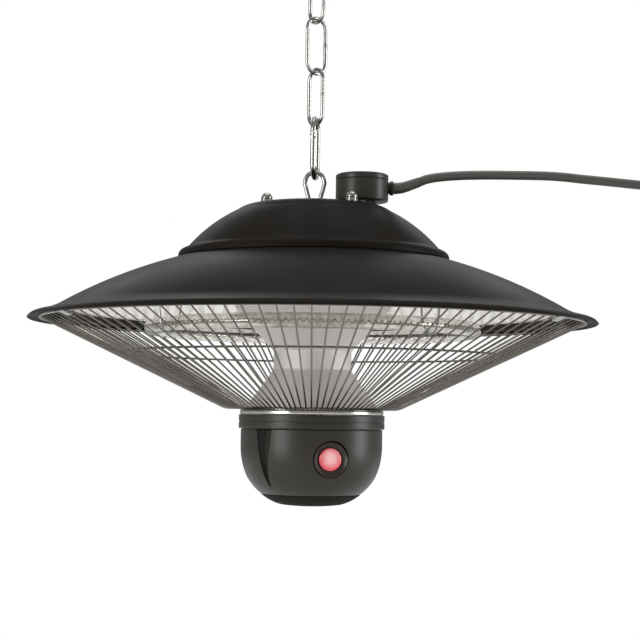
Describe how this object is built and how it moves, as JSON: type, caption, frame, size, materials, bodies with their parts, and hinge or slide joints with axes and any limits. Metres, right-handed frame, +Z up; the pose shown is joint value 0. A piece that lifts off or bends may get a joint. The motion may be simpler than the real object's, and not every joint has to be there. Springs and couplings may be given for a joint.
{
  "type": "hanging halogen patio heater",
  "caption": "Round halogen heater hung from a chain: pressed shade over a wire cage, ring lamp, aluminium column, control bowl with push button, junction box and cord",
  "frame": {"origin": "middle of the flat top face of the ceiling plate, where the heater is fixed", "axes": "+Z up along the chain and the heater axis, -Y to the front, where the push button is, +X to the right, the side on which the cable leaves"},
  "size_m": [0.5659, 0.425, 0.4345],
  "materials": {
    "black_enamel": "satin black enamel",
    "black_plastic": "satin black moulding",
    "bright_steel": "bright plated steel",
    "zinc_steel": "zinc plated steel",
    "bright_aluminium": "polished and hammered aluminium",
    "dark_wire": "dark coated steel wire",
    "quartz": "clear quartz glass",
    "tungsten": "tungsten wire coil",
    "ceramic": "unglazed white ceramic",
    "red_lens": "translucent red plastic",
    "board_green": "green circuit board",
    "black_rubber": "black cable rubber",
    "sleeve_white": "woven glass sleeve",
    "brass": "plain brass"
  },
  "bodies": {
    "ceiling": {"ceiling_plate": "zinc_steel", "ceiling_hook": "bright_steel"},
    "link_1": {"chain_link_1": "bright_steel"},
    "link_2": {"chain_link_2": "bright_steel"},
    "link_3": {"chain_link_3": "bright_steel"},
    "snap_hook": {"snap_hook_body": "bright_steel", "snap_gate_pin": "zinc_steel"},
    "gate": {"snap_hook_gate": "bright_steel"},
    "button": {"push_button": "red_lens"},
    "heater": {"top_dome": "black_enamel", "shade": "black_enamel", "junction_box_body": "black_plastic", "junction_box_lid": "black_plastic", "cable_gland": "black_plastic", "collar": "black_plastic", "control_bowl": "black_plastic", "bottom_cap": "black_plastic", "button_bezel": "black_plastic", "switch_body": "black_plastic", "lifting_eye": "bright_steel", "acorn_nut_1": "bright_steel", "acorn_nut_2": "bright_steel", "acorn_nut_3": "bright_steel", "trim_ring": "bright_steel", "hanger_plate": "zinc_steel", "standoff_stud_1": "zinc_steel", "standoff_stud_2": "zinc_steel", "standoff_stud_3": "zinc_steel", "box_strap": "zinc_steel", "holder_bracket": "zinc_steel", "lamp_clip_1": "zinc_steel", "lamp_clip_2": "zinc_steel", "guard_clip_1": "zinc_steel", "guard_clip_2": "zinc_steel", "guard_clip_3": "zinc_steel", "housing_screw_1": "zinc_steel", "housing_screw_2": "zinc_steel", "housing_screw_3": "zinc_steel", "reflector": "bright_aluminium", "centre_column": "bright_aluminium", "wire_guard": "dark_wire", "guard_mid_ring": "dark_wire", "halogen_tube": "quartz", "halogen_filament": "tungsten", "lamp_holder_1": "ceramic", "lamp_holder_2": "ceramic", "terminal_block": "ceramic", "circuit_board": "board_green", "supply_lead_1": "black_rubber", "supply_lead_2": "black_rubber", "cable_sleeve": "black_rubber", "cord_lead": "black_rubber", "cord_coil": "black_rubber", "cord_tail": "black_rubber", "coil_tie": "black_rubber", "plug_body": "black_rubber", "lamp_lead_1": "sleeve_white", "lamp_lead_2": "sleeve_white", "plug_pin_1": "brass", "plug_pin_2": "brass"}
  },
  "joints": [
    {"name": "link_1_swing", "type": "hinge", "parent": "ceiling", "child": "link_1", "pos_m": [0, 0, -0.029], "axis": [0.7986, 0.6018, 0], "range_deg": [-30, 30]},
    {"name": "link_2_swing", "type": "hinge", "parent": "link_1", "child": "link_2", "pos_m": [0, 0, -0.06805], "axis": [0.6018, -0.7986, 0], "range_deg": [-30, 30]},
    {"name": "link_3_swing", "type": "hinge", "parent": "link_2", "child": "link_3", "pos_m": [0, 0, -0.10745], "axis": [0.7986, 0.6018, 0], "range_deg": [-30, 30]},
    {"name": "snap_hook_swing", "type": "hinge", "parent": "link_3", "child": "snap_hook", "pos_m": [0, 0, -0.14685], "axis": [0.6018, -0.7986, 0], "range_deg": [-25, 25]},
    {"name": "heater_swing", "type": "hinge", "parent": "snap_hook", "child": "heater", "pos_m": [0, 0, -0.1871], "axis": [0.1564, 0.9877, 0], "range_deg": [-25, 25]},
    {"name": "gate_hinge", "type": "hinge", "parent": "snap_hook", "child": "gate", "pos_m": [-0.00155, -0.00978, -0.1555], "axis": [0.9877, -0.1564, 0], "range_deg": [0, 28], "stiffness_Nm_per_rad": 0.03, "springref_deg": -34.38},
    {"name": "button_travel", "type": "slide", "parent": "heater", "child": "button", "axis": [-0.284, 0.9588, 0], "range_m": [0, 0.0015], "stiffness_N_per_m": 700, "springref_m": -0.002}
  ]
}
